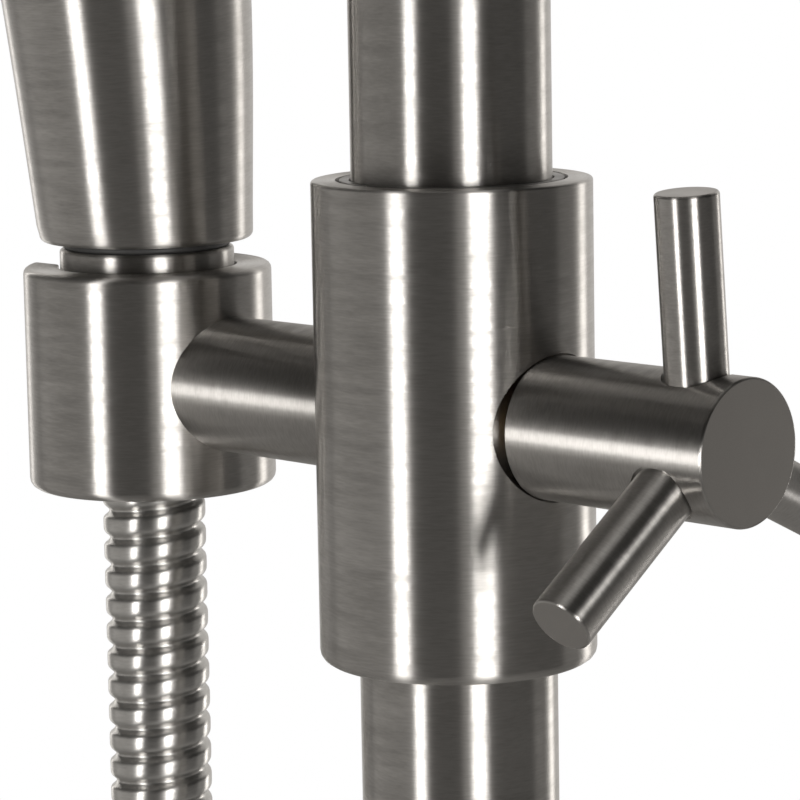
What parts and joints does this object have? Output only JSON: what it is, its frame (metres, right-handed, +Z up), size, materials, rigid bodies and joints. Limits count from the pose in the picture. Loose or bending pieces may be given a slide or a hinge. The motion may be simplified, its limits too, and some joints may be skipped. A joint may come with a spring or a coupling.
{
  "type": "shower system",
  "caption": "Wall-mounted shower column in brushed steel: mixing valve, riser rail, sliding handset holder with a lever clamp knob, ribbed hose, handset and overhead rose.",
  "frame": {"origin": "on the wall plane, midway between the wall bracket's two screws", "axes": "+Z up along the riser rail, +Y into the wall, so -Y faces the bather; +X to the right as the bather faces the wall"},
  "size_m": [0.3288, 0.51, 1.658],
  "materials": {
    "brushed_steel": "satin, finely brushed round each tube",
    "rubber_black": "matt",
    "bush_plastic": "satin",
    "liner_plastic": "matt",
    "brass": "machined",
    "ceramic_cartridge": "matt",
    "nozzle_rubber": "soft matt",
    "steel_screw": "machined"
  },
  "bodies": {
    "column": {"riser_rail": "brushed_steel", "riser_nut": "brushed_steel", "o_rings": "rubber_black", "valve_body": "brushed_steel", "hot_union": "brushed_steel", "cold_union": "brushed_steel", "union_nuts": "brushed_steel", "inlet_filters": "ceramic_cartridge", "wall_escutcheons": "brushed_steel", "hot_cartridge": "ceramic_cartridge", "cold_cartridge": "ceramic_cartridge", "diverter_cartridge": "ceramic_cartridge", "bonnet_nuts": "brushed_steel", "hose_outlet": "brushed_steel", "hose_washer": "rubber_black", "hose_end_nut": "brushed_steel", "hose_end_ferrule": "brushed_steel", "bracket_flange": "brushed_steel", "bracket_arm": "brushed_steel", "bracket_grub_screw": "steel_screw", "wall_screws": "steel_screw", "arm_socket": "brushed_steel", "shower_hose": "brushed_steel"},
    "hot_handle": {"hot_stem": "steel_screw", "hot_hub": "brushed_steel", "hot_levers": "brushed_steel", "hot_grub_screw": "steel_screw"},
    "cold_handle": {"cold_stem": "steel_screw", "cold_hub": "brushed_steel", "cold_levers": "brushed_steel", "cold_grub_screw": "steel_screw"},
    "diverter_handle": {"diverter_stem": "steel_screw", "diverter_hub": "brushed_steel", "diverter_levers": "brushed_steel", "diverter_grub_screw": "steel_screw"},
    "slider": {"slider_bushes": "bush_plastic"},
    "sleeve": {"slider_sleeve": "brushed_steel", "clamp_nut": "brass"},
    "brake": {"brake_pad": "brass"},
    "clamp_knob": {"clamp_spindle": "steel_screw", "clamp_hub": "brushed_steel", "clamp_levers": "brushed_steel"},
    "holder": {"holder_bar": "brushed_steel", "holder_cradle": "brushed_steel", "cradle_liner": "liner_plastic", "bar_pivot_screw": "steel_screw"},
    "hose_nut": {"cone_nut": "brushed_steel", "hose_top_ferrule": "brushed_steel", "swivel_seal": "rubber_black"},
    "handset": {"handset_handle": "brushed_steel", "handset_head": "brushed_steel", "handset_face": "brushed_steel", "handset_nozzles": "nozzle_rubber"},
    "arm": {"overhead_arm": "brushed_steel"},
    "ball": {"ball_stud": "brushed_steel"},
    "rose": {"ball_seat": "brass", "rose_nut": "brushed_steel", "rose_body": "brushed_steel", "rose_face": "brushed_steel", "rose_nozzles": "nozzle_rubber"}
  },
  "joints": [
    {"name": "hot_turn", "type": "hinge", "parent": "column", "child": "hot_handle", "pos_m": [-0.115, -0.06, -1], "axis": [-1, 0, 0], "range_deg": [0, 90]},
    {"name": "cold_turn", "type": "hinge", "parent": "column", "child": "cold_handle", "pos_m": [0.115, -0.06, -1], "axis": [1, 0, 0], "range_deg": [0, 90]},
    {"name": "diverter_turn", "type": "hinge", "parent": "column", "child": "diverter_handle", "pos_m": [0, -0.094, -1], "axis": [0, -1, 0], "range_deg": [0, 90]},
    {"name": "slider_slide", "type": "slide", "parent": "column", "child": "slider", "axis": [0, 0, 1], "range_m": [-0.55, 0.215], "deforming": ["shower_hose"]},
    {"name": "sleeve_swivel", "type": "hinge", "parent": "slider", "child": "sleeve", "pos_m": [0, -0.06, -0.26], "axis": [0, 0, 1], "range_deg": [-25, 60], "deforming": ["shower_hose"]},
    {"name": "brake_slide", "type": "slide", "parent": "sleeve", "child": "brake", "axis": [1, 0, 0], "range_m": [0, 0.000625]},
    {"name": "clamp_turn", "type": "hinge", "parent": "brake", "child": "clamp_knob", "pos_m": [0.03, -0.06, -0.26], "axis": [1, 0, 0], "range_deg": [0, 180]},
    {"name": "holder_tilt", "type": "hinge", "parent": "sleeve", "child": "holder", "pos_m": [-0.03, -0.06, -0.26], "axis": [1, 0, 0], "range_deg": [0, 45], "deforming": ["shower_hose"]},
    {"name": "handset_lift", "type": "slide", "parent": "holder", "child": "hose_nut", "axis": [0, 0, 1], "range_m": [0, 0.04], "deforming": ["shower_hose"]},
    {"name": "handset_turn", "type": "hinge", "parent": "hose_nut", "child": "handset", "pos_m": [-0.0573, -0.06, -0.26], "axis": [0, 0, 1], "range_deg": [-90, 15]},
    {"name": "arm_swivel", "type": "hinge", "parent": "column", "child": "arm", "pos_m": [0, -0.06, 0.08], "axis": [0, 0, 1], "range_deg": [-60, 60]},
    {"name": "rose_turn", "type": "hinge", "parent": "arm", "child": "ball", "pos_m": [0, -0.38, 0.2], "axis": [0, 0, 1], "continuous": true},
    {"name": "rose_tilt", "type": "hinge", "parent": "ball", "child": "rose", "pos_m": [0, -0.38, 0.18805], "axis": [1, 0, 0], "range_deg": [-15, 15]}
  ],
  "couplings": [
    {"joint": "clamp_turn", "follows": "brake_slide", "rad_per_m": 5026.5}
  ]
}
